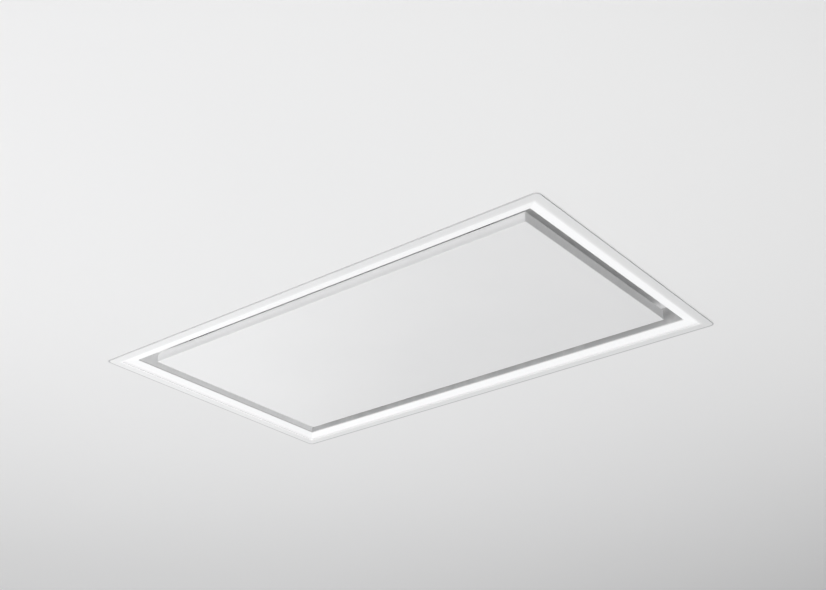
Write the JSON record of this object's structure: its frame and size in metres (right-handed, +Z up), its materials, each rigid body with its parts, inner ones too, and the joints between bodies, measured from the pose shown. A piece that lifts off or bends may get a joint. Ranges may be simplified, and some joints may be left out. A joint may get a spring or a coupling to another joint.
{
  "type": "ceiling range hood",
  "caption": "Flush ceiling extractor hood: lit rim, perimeter suction slot, drop-down panel over grease filters, blower box with round side spigot.",
  "frame": {"origin": "centre of the hood in plan, on the plane of the ceiling's underside, where the rim's back rests", "axes": "+Z up into the ceiling void, +X along the long side towards the duct spigot, +Y towards the hinged long side"},
  "size_m": [1.2, 0.7, 0.2952],
  "materials": {
    "white_enamel": "satin white powder coat on folded steel sheet",
    "inner_paint": "pale grey-white powder coat, slightly duller than the front",
    "opal_plastic": "opal acrylic, lit evenly from behind",
    "led_board": "white solder mask with yellow phosphor chips",
    "galvanised_steel": "galvanised sheet with fine spangle",
    "zinc_steel": "zinc-plated steel, dull",
    "bright_steel": "plain bright steel",
    "filter_aluminium": "drawn aluminium channel",
    "mesh_aluminium": "layered expanded aluminium mesh",
    "flap_aluminium": "plain aluminium sheet",
    "dark_plastic": "moulded dark plastic",
    "pale_plastic": "moulded pale plastic",
    "board_laminate": "green circuit board laminate with dark parts",
    "motor_casting": "dark lacquered motor can",
    "black_rubber": "soft moulded rubber"
  },
  "bodies": {
    "hood": {"blower_inlet_plate": "galvanised_steel", "blower_motor_plate": "galvanised_steel", "blower_scroll": "galvanised_steel", "cable_gland": "dark_plastic", "catch_magnet_left": "dark_plastic", "catch_magnet_right": "dark_plastic", "ceiling_rim": "white_enamel", "control_board": "board_laminate", "duct_spigot": "galvanised_steel", "electrical_box": "galvanised_steel", "electrical_cover": "galvanised_steel", "filter_frame": "inner_paint", "filter_mesh_1": "mesh_aluminium", "filter_mesh_2": "mesh_aluminium", "filter_mesh_3": "mesh_aluminium", "filter_mesh_4": "mesh_aluminium", "filter_rim_1": "filter_aluminium", "filter_rim_2": "filter_aluminium", "filter_rim_3": "filter_aluminium", "filter_rim_4": "filter_aluminium", "flap_axle": "bright_steel", "hanging_rail_left": "zinc_steel", "hanging_rail_right": "zinc_steel", "hinge_bracket_left": "zinc_steel", "hinge_bracket_right": "zinc_steel", "hinge_pin_left": "bright_steel", "hinge_pin_right": "bright_steel", "housing_lid": "galvanised_steel", "led_driver": "pale_plastic", "led_strip_back": "led_board", "led_strip_front": "led_board", "led_strip_left": "led_board", "led_strip_right": "led_board", "light_diffuser_back": "opal_plastic", "light_diffuser_front": "opal_plastic", "light_diffuser_left": "opal_plastic", "light_diffuser_right": "opal_plastic", "light_tray": "inner_paint", "motor": "motor_casting", "motor_box": "galvanised_steel", "outlet_adapter": "galvanised_steel", "plenum": "galvanised_steel", "rubber_mounts": "black_rubber", "side_screws": "bright_steel", "slot_wall": "inner_paint", "terminal_block": "pale_plastic"},
    "drop_down_panel": {"panel_skin": "white_enamel", "panel_liner": "inner_paint", "hinge_arm_left": "zinc_steel", "hinge_arm_right": "zinc_steel", "strike_plate_left": "bright_steel", "strike_plate_right": "bright_steel"},
    "blower_rotor": {"blower_wheel": "dark_plastic", "motor_shaft": "bright_steel"},
    "flap_back": {"damper_flap_back": "flap_aluminium"},
    "flap_front": {"damper_flap_front": "flap_aluminium"},
    "latch_1": {"filter_latch_1": "dark_plastic"},
    "latch_2": {"filter_latch_2": "dark_plastic"},
    "latch_3": {"filter_latch_3": "dark_plastic"},
    "latch_4": {"filter_latch_4": "dark_plastic"}
  },
  "joints": [
    {"name": "panel_hinge", "type": "hinge", "parent": "hood", "child": "drop_down_panel", "pos_m": [0, 0.261, 0.036], "axis": [1, 0, 0], "range_deg": [0, 90]},
    {"name": "blower_spin", "type": "hinge", "parent": "hood", "child": "blower_rotor", "pos_m": [0.06, 0.12904, 0.1878], "axis": [0, 0, 1], "continuous": true},
    {"name": "flap_back_swing", "type": "hinge", "parent": "hood", "child": "flap_back", "pos_m": [0.3787, 0, 0.199], "axis": [0, 0, -1], "range_deg": [0, 80], "stiffness_Nm_per_rad": 0.02, "springref_deg": -8.59},
    {"name": "flap_front_swing", "type": "hinge", "parent": "hood", "child": "flap_front", "pos_m": [0.3787, 0, 0.199], "axis": [0, 0, 1], "range_deg": [0, 80], "stiffness_Nm_per_rad": 0.02, "springref_deg": -8.59},
    {"name": "latch_1_slide", "type": "slide", "parent": "hood", "child": "latch_1", "axis": [0, 1, 0], "range_m": [0, 0.006], "stiffness_N_per_m": 300, "springref_m": -0.004},
    {"name": "latch_2_slide", "type": "slide", "parent": "hood", "child": "latch_2", "axis": [0, 1, 0], "range_m": [0, 0.006], "stiffness_N_per_m": 300, "springref_m": -0.004},
    {"name": "latch_3_slide", "type": "slide", "parent": "hood", "child": "latch_3", "axis": [0, 1, 0], "range_m": [0, 0.006], "stiffness_N_per_m": 300, "springref_m": -0.004},
    {"name": "latch_4_slide", "type": "slide", "parent": "hood", "child": "latch_4", "axis": [0, 1, 0], "range_m": [0, 0.006], "stiffness_N_per_m": 300, "springref_m": -0.004}
  ]
}
